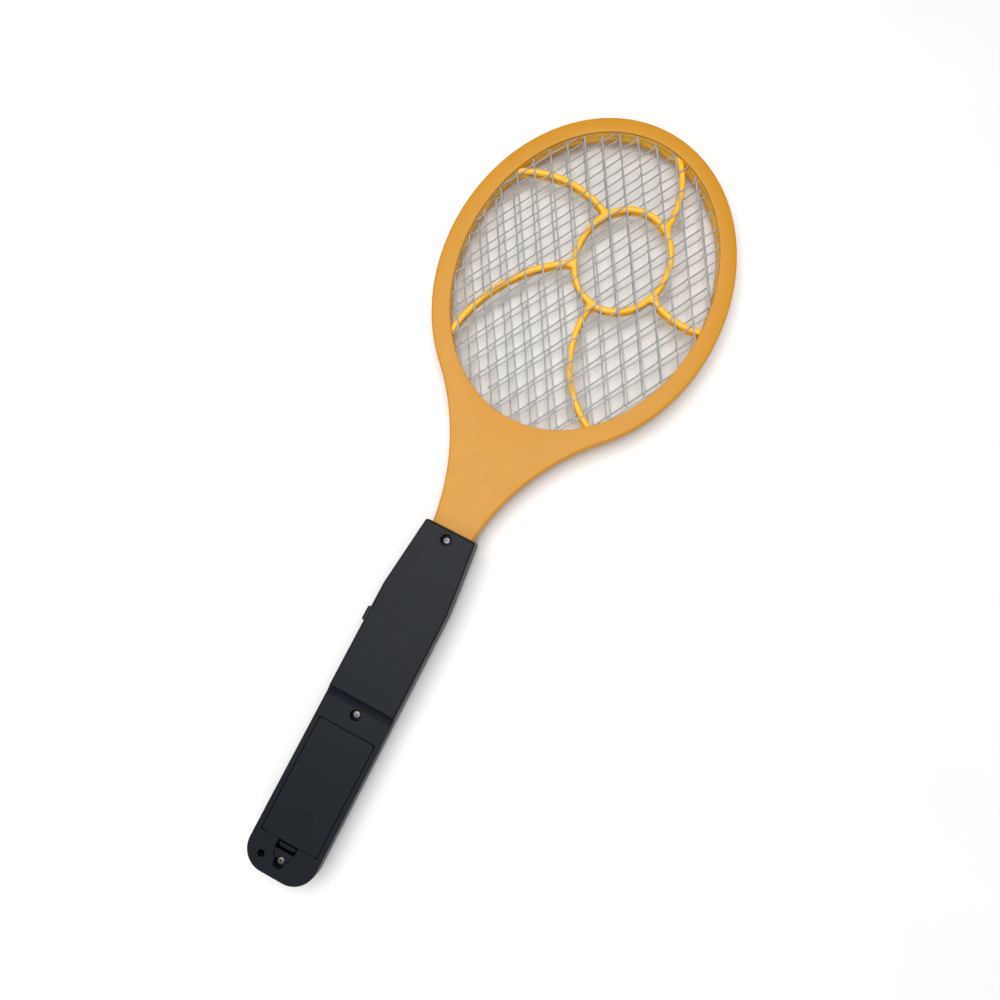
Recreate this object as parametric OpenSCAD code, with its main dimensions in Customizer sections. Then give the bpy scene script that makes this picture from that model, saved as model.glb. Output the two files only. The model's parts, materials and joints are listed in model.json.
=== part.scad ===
// Battery fly swatter lying on the front of its handle: handle and head along Y, battery door up (+Z).
// Lengths along Y are counted from the free end of the handle; seat() then centres the whole on the origin.

/* [Handle] */
// Length of the black handle
handle_len = 196; // [194:0.5:198]
// Width of the handle at its free end
handle_w = 39; // [38.6:0.1:40]
// Width of the handle where its sides start to close in
waist_w = 38; // [37.6:0.1:38.4]
// Distance from the free end to where the sides start to close in
waist_y = 156; // [154:1:158]
// Width of the handle at the neck of the head
throat_w = 29.8; // [29.5:0.1:30.5]
// Thickness of the handle over the electronics
back_h = 26; // [25.5:0.1:27]
// Thickness of the handle over the batteries
grip_h = 22.5; // [22.4:0.1:22.8]
// Radius of the corners at the free end
end_r = 13; // [12:0.5:14]
// Wall thickness of both shells
wall = 2; // [1.8:0.1:2.1]
// Height of the joint between the two shells, which is also the middle plane of the head
split_z = 13; // [12.9:0.1:13.1]
// Radius of the lanyard hole
lanyard_r = 1.85; // [1.6:0.05:2.1]

/* [Battery door] */
// Width of the battery door
door_w = 31.6; // [31:0.1:32]
// Length of the battery door
door_len = 62; // [61.5:0.1:62.2]
// Distance from the free end to the lower edge of the door
door_y = 19; // [18.9:0.1:19.1]
// Thickness of the door
door_t = 2; // [1.8:0.1:2]
// Gap around the door and the button
gap = 0.3; // [0.25:0.05:0.35]

/* [Button] */
// Distance from the free end to the middle of the side button
button_y = 137.4; // [136:0.5:139]
// Length of the side button along the handle
button_len = 8; // [7:0.5:9]
// How far the side button stands out of the wall
button_out = 2.6; // [2.2:0.1:2.8]
// How far the side button travels when pressed
button_travel = 1.2; // [0.8:0.1:1.3]

/* [Batteries] */
// Radius of an AA cell
cell_r = 7.1; // [6.9:0.05:7.15]
// Length of an AA cell with its terminal nub
cell_len = 50.5; // [50:0.1:50.5]

/* [Head] */
// Outer width of the head
head_w = 156; // [154:0.2:157]
// Outer length of the oval of the head
head_len = 191; // [189:0.5:193]
// Distance from the free end to the middle of the outer oval
head_y = 347; // [346:0.5:348]
// Width of the opening in the head
open_w = 136; // [135:0.5:137]
// Length of the opening in the head
open_len = 171.8; // [171:0.2:172.6]
// Distance from the free end to the middle of the opening
open_y = 348.2; // [347.8:0.1:348.6]
// Thickness of the head
head_t = 12; // [11.8:0.1:12.2]
// Thickness of the lips that hold the grids
lip_t = 1.5; // [1.4:0.1:1.6]
// Radius of the curve between neck and head
flare_r = 130; // [126:1:134]
// Wall thickness of the head shells
head_wall = 1.6; // [1.4:0.1:1.8]

/* [Grids] */
// Width of the mesh strands
strand_w = 0.8; // [0.6:0.1:1]
// Thickness of each grid
grid_t = 0.6; // [0.5:0.1:0.6]

/* [Spacers] */
// Diameter of the spacer bars
bar_d = 3.4; // [2.8:0.1:3.4]
// Half width of the spacer's inner ring
ring_a = 25; // [24:0.1:25.5]
// Half length of the spacer's inner ring
ring_b = 29.4; // [29:0.1:30]
// Middle of the inner ring, across and along
ring_c = [13.4, 367.6];

/* [Hidden] */
$fn = 48;
eps = 0.01;
total_len = head_y + head_len / 2;

// Handle: outline, edges and the step between the two thicknesses
edge_in = 1.2;
edge_drop = 1.2;
front_draft = 1.1;
room_draft = 0.5;
front_edge = 3;
front_edge_drop = 4;
throat_r = 1.8;
step_y = 98.3;
step_run = 5.8;
inner_wall_y = 95.5;

// Screws: distance along the handle, height of the head's top face
screw_spots = [[8.1, 17.9], [90, 19], [190, 21.5]];
neck_screw_y = screw_spots[2][0];
screw_head_r = 2.2;
screw_head_h = 1.6;
screw_shaft_r = 1.2;
screw_len = 12;
counterbore_r = 2.9;
seat_t = 2;
back_boss_r = 4.2;
front_boss_r = 3.4;
lanyard_spot = [-10.2, 8.2];
lanyard_boss_r = 3.4;
slide_gap = 0.05;
pilot_gap = 0.05;
pass_gap = 0.2;
wire_r = 0.6;
lead_r = 0.35;

// Battery bay
bay_w = 30.4;
bay_y0 = 20.5;
bay_y1 = 79.8;
bay_floor = 5;
tray_w = 33;
tray_wall = 1.5;
tray_end = 2.5;
cell_x = 7.35;
cell_z = 12.2;
contact_t = 0.4;
contact_w = 12;
contact_z0 = 6;
contact_h = 11;
contact_tail_w = 2.8;
contact_tail_z = 9;
spring_wire_r = 0.45;
spring_len = 6.2;
cell_y0 = bay_y0 + contact_t + spring_len;
cell_y1 = cell_y0 + cell_len;

// Door: tongues on the upper edge and a sprung latch in a slot at the lower edge
hinge_y = door_y + door_len;
tongue_x = 9;
tongue_w = 5;
tongue_out = 1.6;
tongue_t = 1.5;
slot_w = 10.9;
slot_y0 = 14.4;
latch_w = 9.6;
latch_deep = 5.6;
latch_t = 1.1;
latch_bend_r = 2.05;
latch_bend_z = grip_h - latch_deep + 1.4;
latch_fixed_y = door_y + 0.1;
latch_free_y = latch_fixed_y + latch_t - 2 * latch_bend_r;
nose_z = grip_h - 3.6;
ridge_ys = [30.5, 32.57, 34.64, 36.7];
ridge_w = 10.7;
ridge_h = 0.45;
ridge_r = 0.6;

// Button, plunger and spring
wall_x = waist_w / 2;
button_h = 7;
flange_t = 1.2;
flange_lap = 1.6;
flange_x = -wall_x + wall + 0.3;
stem_in = 1.4;
plunger_r = 1;
switch_x = -10.6;
switch_len = 6.4;
coil_r = 1.9;
coil_wire_r = 0.25;

// Electronics
board_z = 9;
board_t = 1.6;
board_y0 = 103;
board_y1 = 163;
board_w = 25;
board_top = board_z + board_t;
trafo_y = 117;
trafo_z = board_top + 6;
led_y = 153;
led_pitch = 1.8;
film_cap_at = [4.6, 134.5];
film_cap_pitch = 10;
disc_cap_x = 5.6;
disc_cap_ys = [146, 151];
disc_cap_pitch = 4.4;
diode_x = -4.6;
diode_ys = [143.5, 147.5, 151.5];
diode_len = 4.6;
resistor_spots = [[-5, 155.8], [5.2, 155.8], [6.2, 127]];
resistor_len = 5.4;
axial_reach = 2;
transistor_at = [-6.5, 127];
transistor_pitch = 1.27;
throat_rib_y = 173;
throat_rib_t = 2;
post_spots = [[-9.6, 107], [9.6, 159]];
screw_post_r = 2.6;
plain_post_r = 1.8;
post_screw_r = 0.8;
led_r = 1.5;

// Where every lead passes through the board
lead_spots = concat(
    [for (s = [-1, 1]) [film_cap_at[0] + s * film_cap_pitch / 2, film_cap_at[1]]],
    [for (y = disc_cap_ys) for (s = [-1, 1]) [disc_cap_x + s * disc_cap_pitch / 2, y]],
    [for (y = diode_ys) for (s = [-1, 1]) [diode_x + s * (diode_len / 2 + axial_reach), y]],
    [for (p = resistor_spots) for (s = [-1, 1]) [p[0] + s * (resistor_len / 2 + axial_reach), p[1]]],
    [for (i = [-1:1]) [transistor_at[0] + i * transistor_pitch, transistor_at[1]]],
    [for (s = [-1, 1]) [s * led_pitch / 2, led_y]],
    [for (s = [-2, 2]) [switch_x + switch_len / 2, button_y + s]]);

// Head: stack of grids and spacers between the lips
tongue_half_w = 11.3;
tongue_y = 168;
grid_z = head_t / 2 - lip_t - grid_t;
pocket_gap = 3;
rib_gap = 4.4;
pin_angles = [25, 65, 115, 155, 205, 335];
pin_r = 1.1;

// Mesh of each grid: one crossing near the middle, then the two sides of its cells
back_mesh = [[18.3, 349.8], [-5.59, 9.03], [5.51, 9.32]];
centre_mesh = [[15.2, 353.6], [-5.74, 9.44], [5.7, 10.03]];
front_mesh = [[14.9, 355.1], [-5.8, 9.53], [5.76, 10.13]];

// Spacer arms: start on the ring, end at the rim, and how far the arc bulges to the right of its chord
arms = [
    [[-5.9, 386.6], [-62, 386.8], 7.6],
    [[26.5, 392.6], [13.5, 434.5], 5.2],
    [[36.6, 356.2], [69.6, 350.2], 3.7],
    [[9.5, 338.6], [38.5, 277], 11],
    [[-9.6, 354.6], [-51.6, 289], 9.9]];

// Tail of each grid, where its wire is joined
tail_w = 4;
tail_len = 9;
tail_end_y = open_y - open_len / 2 - pocket_gap + 0.4 - tail_len;

// ---------- shared shapes ----------

function arc(c, r, a0, a1, n) = [for (i = [0:n]) let (a = a0 + (a1 - a0) * i / n)
    [c[0] + r * cos(a), c[1] + r * sin(a)]];

function oval(a, b, y, n = 96) = [for (i = [0:n - 1]) [a * cos(360 * i / n), y + b * sin(360 * i / n)]];

function mirrored(half) = concat(half, [for (i = [len(half) - 1:-1:0]) [-half[i][0], half[i][1]]]);

// Outline of the handle, moved inwards by d
function handle_outline(d) = mirrored(concat(
    arc([handle_w / 2 - end_r, end_r], end_r - d, -90, 0, 12),
    [[waist_w / 2 - d, waist_y]],
    let (r = max(throat_r, d + 0.1)) arc([throat_w / 2 - r, handle_len - r], r - d, 8, 90, 4)));

// Outline of the head and its neck, moved inwards by d, its tongue starting at y0
function head_outline(d, y0 = tongue_y) =
    let (a = head_w / 2 - d, b = head_len / 2 - d, r = flare_r + d, u = atan(b / a),
        join = [a * cos(u), head_y - b * sin(u)],
        c = [join[0] + r * cos(45), join[1] - r * sin(45)],
        start = asin((handle_len - c[1]) / r))
    mirrored(concat(
        [[tongue_half_w - d, y0], [tongue_half_w - d, handle_len]],
        arc(c, r, 180 - start, 135, 16),
        [for (i = [1:40]) let (t = -u + (90 + u) * i / 40) [a * cos(t), head_y + b * sin(t)]]));

module seat() {
    translate([0, -total_len / 2, 0]) children();
}

module box(x0, x1, y0, y1, z0, z1) {
    translate([x0, y0, z0]) cube([x1 - x0, y1 - y0, z1 - z0]);
}

function unit(v) = v / norm(v);

// Round tube along a path; side is a direction that the path never runs along
module tube(path, r, side, sides = 8) {
    n = len(path) - 1;
    points = [for (i = [0:n])
        let (way = unit(path[min(i + 1, n)] - path[max(i - 1, 0)]))
        let (u = unit(side - (side * way) * way), v = cross(way, u))
        for (j = [0:sides - 1]) let (b = 360 * j / sides) path[i] + r * (cos(b) * u + sin(b) * v)];
    skin = [for (i = [0:n - 1]) for (j = [0:sides - 1]) let (k = (j + 1) % sides)
        [i * sides + j, (i + 1) * sides + j, (i + 1) * sides + k, i * sides + k]];
    ends = [[for (j = [0:sides - 1]) j], [for (j = [sides - 1:-1:0]) n * sides + j]];
    polyhedron(points, concat(skin, ends), convexity = 8);
}

// A coil along Y from y0 to y1, its radius running from r0 to r1
module coil(x, y0, y1, z, r0, r1, wire_r, turns, steps = 16) {
    n = turns * steps;
    tube([for (i = [0:n]) let (a = 360 * i / steps, f = i / n, r = r0 + (r1 - r0) * f)
        [x + r * cos(a), y0 + (y1 - y0) * f, z + r * sin(a)]], wire_r, [0, 1, 0]);
}

// A smooth curve through hand-placed points: every span gets three more points on a cubic
function smooth(p) = let (n = len(p) - 1) concat(
    [for (i = [0:n - 1]) for (f = [0, 0.25, 0.5, 0.75])
        let (a = p[max(i - 1, 0)], b = p[i], c = p[i + 1], d = p[min(i + 2, n)])
        b + f / 2 * (c - a) + f * f / 2 * (2 * a - 5 * b + 4 * c - d)
            + f * f * f / 2 * (3 * b - a - 3 * c + d)],
    [p[n]]);

// A wire through the given points
module wire(points, r) {
    tube(smooth(points), r, [1, 0, 0]);
}

// ---------- handle ----------

// Solid back half of the handle, h high from the joint plane, with its outer edge rounded over
module handle_block(h) {
    hull() {
        linear_extrude(eps) polygon(handle_outline(0));
        translate([0, 0, h - edge_drop]) linear_extrude(eps) polygon(handle_outline(edge_in / 3));
        translate([0, 0, h - edge_drop / 3]) linear_extrude(eps) polygon(handle_outline(edge_in * 2 / 3));
        translate([0, 0, h - eps]) linear_extrude(eps) polygon(handle_outline(edge_in));
    }
}

// Solid front half of the handle: its sides lean in towards the front face, with a broad round edge
module front_block() {
    hull() {
        translate([0, 0, split_z - eps]) linear_extrude(eps) polygon(handle_outline(0));
        for (a = [0:22.5:90]) let (z = front_edge_drop * (1 - sin(a)))
            translate([0, 0, z]) linear_extrude(eps)
                polygon(handle_outline(front_draft * (1 - z / split_z) + front_edge * (1 - cos(a))));
    }
}

// Side view of the back shell, low over the batteries and high over the electronics
module back_profile() {
    cove = [for (i = [0:6]) let (a = 15 * i)
        [step_y - step_run + step_run * sin(a), grip_h + (back_h - grip_h) * (1 - cos(a))]];
    side = concat([[-1, split_z - 1], [-1, grip_h]], cove,
        [[step_y, back_h + 1], [handle_len + 1, back_h + 1], [handle_len + 1, split_z - 1]]);
    rotate([90, 0, 90]) translate([0, 0, -handle_w]) linear_extrude(2 * handle_w) polygon(side);
}

module inner_room(y0, y1, z0, z1) {
    intersection() {
        translate([0, 0, z0]) linear_extrude(z1 - z0) polygon(handle_outline(wall));
        box(-handle_w, handle_w, y0, y1, z0, z1);
    }
}

// Room inside the front half, closing in towards the front face
module front_room() {
    hull() {
        translate([0, 0, split_z + 1]) linear_extrude(eps) polygon(handle_outline(wall));
        translate([0, 0, wall]) linear_extrude(eps) polygon(handle_outline(wall + room_draft));
    }
}

// Opening in the top of both shells that the neck of the head passes through
module neck_opening() {
    box(-tongue_half_w - 0.5, tongue_half_w + 0.5, handle_len - wall - room_draft - eps, handle_len + 1,
        split_z - head_t / 2 - slide_gap, split_z + head_t / 2 + slide_gap);
}

module button_window() {
    box(-handle_w, -wall_x + wall + 0.5, button_y - button_len / 2 - gap, button_y + button_len / 2 + gap,
        split_z - button_h / 2 - gap, split_z + button_h / 2 + gap);
}

// Shallow finger recess between the latch slot and the lowest screw
module finger_scoop() {
    translate([0, 0, grip_h - 1.1]) linear_extrude(3) polygon(mirrored(concat(
        [[0, screw_spots[0][0]]], arc([0, slot_y0 - 0.6], 5.2, -80, 0, 8), [[slot_w / 2, slot_y0 + eps]])));
}

module back_shell() {
    color([0.13, 0.14, 0.16]) seat() difference() {
        union() {
            difference() {
                intersection() {
                    translate([0, 0, split_z]) handle_block(back_h - split_z);
                    back_profile();
                }
                inner_room(wall, bay_y0 - tray_end, split_z - 1, grip_h - wall);
                inner_room(bay_y1 + tray_end + 0.4, inner_wall_y, split_z - 1, grip_h - wall);
                inner_room(inner_wall_y + wall, handle_len - wall, split_z - 1, back_h - wall);
                box(-bay_w / 2 - 1, bay_w / 2 + 1, inner_wall_y - 1, inner_wall_y + wall + 1,
                    split_z - 1, grip_h - wall);
            }
            box(-tray_w / 2, tray_w / 2, bay_y0 - tray_end, bay_y1 + tray_end + 0.4,
                bay_floor - tray_wall, split_z + eps);
            for (s = screw_spots) translate([0, s[0], s[1] - screw_head_h - seat_t])
                cylinder(r = back_boss_r, h = (s[0] > step_y ? back_h : grip_h) - wall / 2
                    - s[1] + screw_head_h + seat_t);
            translate([lanyard_spot[0], lanyard_spot[1], split_z])
                cylinder(r = lanyard_boss_r, h = grip_h - wall / 2 - split_z);
            box(-throat_w / 2 + wall, throat_w / 2 - wall, throat_rib_y, throat_rib_y + throat_rib_t,
                split_z + head_t / 2 + slide_gap, back_h - wall / 2);
        }
        // battery bay, door recess and the pockets for the door's tongues
        box(-bay_w / 2, bay_w / 2, bay_y0, bay_y1, bay_floor, grip_h + 1);
        box(-door_w / 2 - gap, door_w / 2 + gap, door_y - gap, hinge_y + gap,
            grip_h - door_t - gap, grip_h + 1);
        for (x = [-tongue_x, tongue_x])
            box(x - tongue_w / 2 - 0.4, x + tongue_w / 2 + 0.4, bay_y1 - 1, hinge_y + tongue_out + 0.5,
                grip_h - 4.6, grip_h - wall);
        // latch chamber under the slot, open into the battery bay
        box(-slot_w / 2, slot_w / 2, slot_y0, door_y, grip_h - latch_deep - 1.6, grip_h + 1);
        box(-slot_w / 2, slot_w / 2, door_y - 1, bay_y0 + 1, grip_h - latch_deep - 1.6, grip_h - 1);
        finger_scoop();
        // screws, lanyard, neck and button
        for (s = screw_spots) {
            translate([0, s[0], s[1] - screw_head_h]) cylinder(r = counterbore_r, h = back_h);
            translate([0, s[0], s[1] - screw_head_h - seat_t - 1])
                cylinder(r = screw_shaft_r + pass_gap, h = seat_t + 2);
        }
        translate([lanyard_spot[0], lanyard_spot[1], split_z - 1]) cylinder(r = lanyard_r, h = back_h);
        neck_opening();
        button_window();
        // slots for the tails of the battery contacts
        for (x = [-cell_x, cell_x])
            box(x - contact_tail_w / 2 - pass_gap, x + contact_tail_w / 2 + pass_gap,
                bay_y0 - tray_end - 1, bay_y0 + eps, contact_tail_z - 0.6, contact_tail_z + 0.6);
    }
}

module front_shell() {
    color([0.13, 0.14, 0.16]) seat() difference() {
        union() {
            difference() {
                front_block();
                front_room();
            }
            for (s = screw_spots) translate([0, s[0], wall / 2])
                cylinder(r = front_boss_r, h = s[1] - screw_head_h - seat_t - 0.1 - wall / 2);
            translate([lanyard_spot[0], lanyard_spot[1], wall / 2])
                cylinder(r = lanyard_boss_r, h = split_z - wall / 2);
            for (s = post_spots) {
                translate([s[0], s[1], wall / 2]) cylinder(r = screw_post_r, h = board_z - wall / 2);
                translate([-s[0], s[1], wall / 2]) cylinder(r = plain_post_r, h = board_z - wall / 2);
            }
            box(-throat_w / 2 + wall, throat_w / 2 - wall, throat_rib_y, throat_rib_y + throat_rib_t,
                wall / 2, split_z - head_t / 2 - slide_gap);
        }
        for (s = screw_spots) translate([0, s[0], wall + 1])
            cylinder(r = screw_shaft_r + pilot_gap, h = back_h);
        for (s = post_spots) translate([s[0], s[1], wall + 0.5])
            cylinder(r = post_screw_r + pilot_gap, h = back_h);
        translate([lanyard_spot[0], lanyard_spot[1], -1]) cylinder(r = lanyard_r, h = back_h);
        translate([0, led_y, -1]) cylinder(r = led_r + pass_gap, h = 5);
        neck_opening();
        button_window();
    }
}

// ---------- battery door ----------

module door_arrow() {
    translate([0, 0, grip_h - 0.2]) linear_extrude(0.4) {
        difference() {
            polygon([[-2.3, 24.3], [2.3, 24.3], [0, 28]]);
            polygon([[-1.5, 24.8], [1.5, 24.8], [0, 27.1]]);
        }
        translate([-2.3, 22.3]) square([4.6, 0.45]);
    }
}

module battery_door() {
    color([0.13, 0.14, 0.16]) seat() {
        translate([0, 0, grip_h - door_t]) linear_extrude(door_t) polygon(mirrored(concat(
            arc([door_w / 2 - 1.4, door_y + 1.4], 1.4, -90, 0, 6),
            arc([door_w / 2 - 1.4, hinge_y - 1.4], 1.4, 0, 90, 6))));
        for (x = [-tongue_x, tongue_x]) {
            box(x - tongue_w / 2, x + tongue_w / 2, hinge_y - tongue_out, hinge_y - 0.2,
                grip_h - door_t - gap - tongue_t, grip_h - door_t + eps);
            box(x - tongue_w / 2, x + tongue_w / 2, hinge_y - tongue_out, hinge_y + tongue_out,
                grip_h - door_t - gap - tongue_t, grip_h - door_t - gap);
        }
        for (y = ridge_ys) translate([-ridge_w / 2, y, grip_h + ridge_h - ridge_r]) rotate([0, 90, 0])
            cylinder(r = ridge_r, h = ridge_w, $fn = 24);
        door_arrow();
        // latch: a strip bent into a U, fixed under the door's lower edge, with a nose on its free leg
        box(-latch_w / 2, latch_w / 2, latch_fixed_y, latch_fixed_y + latch_t,
            latch_bend_z, grip_h - door_t + eps);
        translate([-latch_w / 2, (latch_fixed_y + latch_t + latch_free_y) / 2, latch_bend_z])
            rotate([90, 0, 90]) intersection() {
                difference() {
                    cylinder(r = latch_bend_r, h = latch_w);
                    translate([0, 0, -1]) cylinder(r = latch_bend_r - latch_t, h = latch_w + 2);
                }
                translate([-3, -3, -1]) cube([6, 3 + eps, latch_w + 2]);
            }
        box(-latch_w / 2, latch_w / 2, latch_free_y, latch_free_y + latch_t, latch_bend_z, grip_h - 2);
        box(1 - latch_w / 2, latch_w / 2 - 1, latch_free_y - latch_t, latch_free_y + 0.1, nose_z, nose_z + 1);
    }
}

// ---------- button and switch ----------

module push_button() {
    color([0.16, 0.16, 0.18]) seat() {
        box(-wall_x - button_out + 0.5, flange_x + eps, button_y - button_len / 2, button_y + button_len / 2,
            split_z - button_h / 2, split_z + button_h / 2);
        box(-wall_x - button_out, -wall_x - button_out + 0.6, button_y - button_len / 2 + 0.5,
            button_y + button_len / 2 - 0.5, split_z - button_h / 2 + 0.5, split_z + button_h / 2 - 0.5);
        box(flange_x, flange_x + flange_t,
            button_y - button_len / 2 - flange_lap, button_y + button_len / 2 + flange_lap,
            split_z - button_h / 2 - 1, split_z + button_h / 2 + 1);
    }
}

module switch_plunger() {
    color([0.9, 0.9, 0.88]) seat() translate([flange_x + flange_t, button_y, split_z])
        rotate([0, 90, 0]) {
            cylinder(r = plunger_r, h = switch_x + stem_in - flange_x - flange_t);
            cylinder(r = 1.45, h = 0.5);
        }
}

module button_spring() {
    x0 = flange_x + flange_t + coil_wire_r;
    color([0.75, 0.75, 0.76]) seat() translate([0, button_y, split_z]) rotate([0, 0, -90])
        coil(0, x0, switch_x - coil_wire_r, 0, coil_r, coil_r, coil_wire_r, 6);
}

module switch_body() {
    color([0.1, 0.1, 0.11]) seat() difference() {
        union() {
            box(switch_x, switch_x + switch_len, button_y - 3.4, button_y + 3.4, board_top, split_z + 3);
            for (y = [-2, 2]) translate([switch_x + switch_len / 2, button_y + y, board_z - 1])
                cylinder(r = lead_r, h = board_t + 1.5, $fn = 16);
        }
        translate([switch_x - 1, button_y, split_z]) rotate([0, 90, 0])
            cylinder(r = plunger_r + gap, h = stem_in + button_travel + 1.5);
    }
}

// ---------- screws ----------

module pan_screw(len, shaft_r, head_r, head_h) {
    difference() {
        union() {
            cylinder(r = head_r, h = head_h * 0.6);
            translate([0, 0, head_h * 0.6]) cylinder(r1 = head_r, r2 = head_r * 0.7, h = head_h * 0.4);
            translate([0, 0, -len]) cylinder(r = shaft_r, h = len + eps);
        }
        for (a = [0, 90]) rotate([0, 0, a + 20])
            translate([-head_r * 0.62, -0.3, head_h * 0.5]) cube([head_r * 1.24, 0.6, head_h]);
    }
}

module handle_screws() {
    color([0.75, 0.75, 0.72]) seat() for (s = screw_spots)
        translate([0, s[0], s[1] - screw_head_h])
            pan_screw(screw_len, screw_shaft_r, screw_head_r, screw_head_h);
}

module board_screws() {
    color([0.75, 0.75, 0.72]) seat() for (s = post_spots)
        translate([s[0], s[1], board_top]) pan_screw(6, post_screw_r, 1.6, 1.1);
}

// ---------- batteries and contacts ----------

module cell() {
    rotate([-90, 0, 0]) {
        cylinder(r = cell_r, h = cell_len - 1.2);
        cylinder(r = 2.7, h = cell_len);
    }
}

module battery_cell_left() {
    color([0.2, 0.45, 0.3]) seat() translate([-cell_x, cell_y0, cell_z]) cell();
}

module battery_cell_right() {
    color([0.2, 0.45, 0.3]) seat() translate([cell_x, bay_y0 + bay_y1 - cell_y0, cell_z])
        rotate([0, 0, 180]) cell();
}

// Dimple that meets the nub of a cell: a short dome-ended stud pointing along Y
module dimple(x, y, turn) {
    translate([x, y, cell_z]) rotate([turn, 0, 0])
        cylinder(r1 = 3.4, r2 = 2.2, h = bay_y1 - contact_t - cell_y1);
}

module bridge_contact() {
    color([0.8, 0.78, 0.7]) seat() {
        box(-cell_x - contact_w / 2, cell_x + contact_w / 2, bay_y1 - contact_t, bay_y1,
            contact_z0, contact_z0 + contact_h);
        dimple(-cell_x, bay_y1 - contact_t, 90);
        coil(cell_x, bay_y1 - contact_t, bay_y0 + bay_y1 - cell_y0 + spring_wire_r, cell_z, 4.6, 3,
            spring_wire_r, 4);
    }
}

module contact_tail(x) {
    box(x - contact_tail_w / 2, x + contact_tail_w / 2, bay_y0 - tray_end - 1.2, bay_y0 + contact_t / 2,
        contact_tail_z - contact_t / 2, contact_tail_z + contact_t / 2);
}

module negative_contact() {
    color([0.8, 0.78, 0.7]) seat() {
        box(-cell_x - contact_w / 2, -cell_x + contact_w / 2, bay_y0, bay_y0 + contact_t,
            contact_z0, contact_z0 + contact_h - 1.4);
        coil(-cell_x, bay_y0 + contact_t, cell_y0 - spring_wire_r, cell_z, 4.6, 3, spring_wire_r, 4);
        contact_tail(-cell_x);
    }
}

module positive_contact() {
    color([0.8, 0.78, 0.7]) seat() {
        box(cell_x - contact_w / 2, cell_x + contact_w / 2, bay_y0, bay_y0 + contact_t,
            contact_z0, contact_z0 + contact_h - 1.4);
        dimple(cell_x, bay_y0 + contact_t, -90);
        contact_tail(cell_x);
    }
}

// ---------- electronics ----------

module circuit_board() {
    color([0.75, 0.62, 0.3]) seat() difference() {
        box(-board_w / 2, board_w / 2, board_y0, board_y1, board_z, board_top);
        for (s = post_spots) translate([s[0], s[1], board_z - 1]) cylinder(r = 1, h = board_t + 2);
        for (s = lead_spots) translate([s[0], s[1], board_z - 1])
            cylinder(r = lead_r + 0.1, h = board_t + 2, $fn = 24);
    }
}

module transformer_core() {
    color([0.22, 0.22, 0.23]) seat() translate([0, trafo_y, trafo_z]) {
        difference() {
            box(-7, 7, -3, 3, -5.4, 5.4);
            box(-4.8, -2, -4, 4, -3.4, 3.4);
            box(2, 4.8, -4, 4, -3.4, 3.4);
        }
    }
}

module transformer_bobbin() {
    color([0.12, 0.12, 0.12]) seat() translate([0, trafo_y, trafo_z]) {
        difference() {
            union() {
                for (z = [-3.3, 2.5]) box(-4.7, 4.7, -5.6, 5.6, z, z + 0.8);
                box(-2.6, 2.6, -3.6, 3.6, -3, 3);
            }
            box(-2.1, 2.1, -3.1, 3.1, -4, 4);
        }
        for (y = [-5, 4]) box(-6, 6, y, y + 1, -6, -3.2);
    }
}

module transformer_winding() {
    color([0.85, 0.7, 0.2]) seat() translate([0, trafo_y, trafo_z - 2.4]) difference() {
        linear_extrude(4.8) polygon(mirrored(concat(
            arc([3, -3.8], 1.5, -90, 0, 6), arc([3, 3.8], 1.5, 0, 90, 6))));
        box(-2.7, 2.7, -3.7, 3.7, -1, 6);
    }
}

module storage_capacitor() {
    color([0.55, 0.16, 0.08]) seat() translate([film_cap_at[0], film_cap_at[1], 0]) {
        hull() for (x = [-6.4, 6.4]) for (z = [2, 8.6])
            translate([x, 0, board_top + z + 0.6]) rotate([90, 0, 0])
                translate([0, 0, -2.6]) cylinder(r = 1.6, h = 5.2, $fn = 24);
        for (s = [-1, 1]) translate([s * film_cap_pitch / 2, 0, board_z - 1])
            cylinder(r = lead_r, h = 4.4, $fn = 16);
    }
}

module doubler_capacitors() {
    color([0.15, 0.35, 0.6]) seat() for (y = disc_cap_ys) translate([disc_cap_x, y, 0]) {
        translate([0, 1.2, board_top + 4.6]) rotate([90, 0, 0]) cylinder(r = 3.8, h = 2.4);
        for (s = [-1, 1]) translate([s * disc_cap_pitch / 2, 0, board_z - 1])
            cylinder(r = 0.3, h = 5.4, $fn = 16);
    }
}

// A component lying on the board, its leads bent down through it at both ends
module axial_part(x, y, len, r) {
    z = board_top + r + 0.3;
    translate([x - len / 2, y, z]) rotate([0, 90, 0]) cylinder(r = r, h = len, $fn = 32);
    x0 = x - len / 2 - axial_reach;
    x1 = x + len / 2 + axial_reach;
    tube([[x0, y, board_z - 1], [x0, y, z], [x1, y, z], [x1, y, board_z - 1]], 0.3, [0, 1, 0]);
}

module rectifier_diodes() {
    color([0.1, 0.1, 0.1]) seat() for (y = diode_ys) axial_part(diode_x, y, diode_len, 1.3);
}

module resistors() {
    color([0.8, 0.7, 0.5]) seat() for (p = resistor_spots) axial_part(p[0], p[1], resistor_len, 1.1);
}

module switching_transistor() {
    color([0.08, 0.08, 0.08]) seat() translate([transistor_at[0], transistor_at[1], board_top + 2.2]) {
        intersection() {
            cylinder(r = 2.4, h = 4.6);
            box(-3, 3, -3, 1.2, -1, 6);
        }
        for (i = [-1:1]) translate([i * transistor_pitch, 0, -4.6]) cylinder(r = 0.28, h = 4.7, $fn = 16);
    }
}

module indicator_led() {
    color([0.8, 0.1, 0.1]) seat() translate([0, led_y, 0]) {
        translate([0, 0, 1.7]) cylinder(r = led_r, h = 3.4);
        intersection() {
            translate([0, 0, 1.7]) sphere(r = led_r);
            box(-2, 2, -2, 2, 0.1, 1.8);
        }
        translate([0, 0, 5]) cylinder(r = led_r + 0.4, h = 0.9);
        for (s = [-1, 1]) translate([s * led_pitch / 2, 0, 5.8])
            cylinder(r = 0.25, h = board_top - 5.3, $fn = 16);
    }
}

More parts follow.
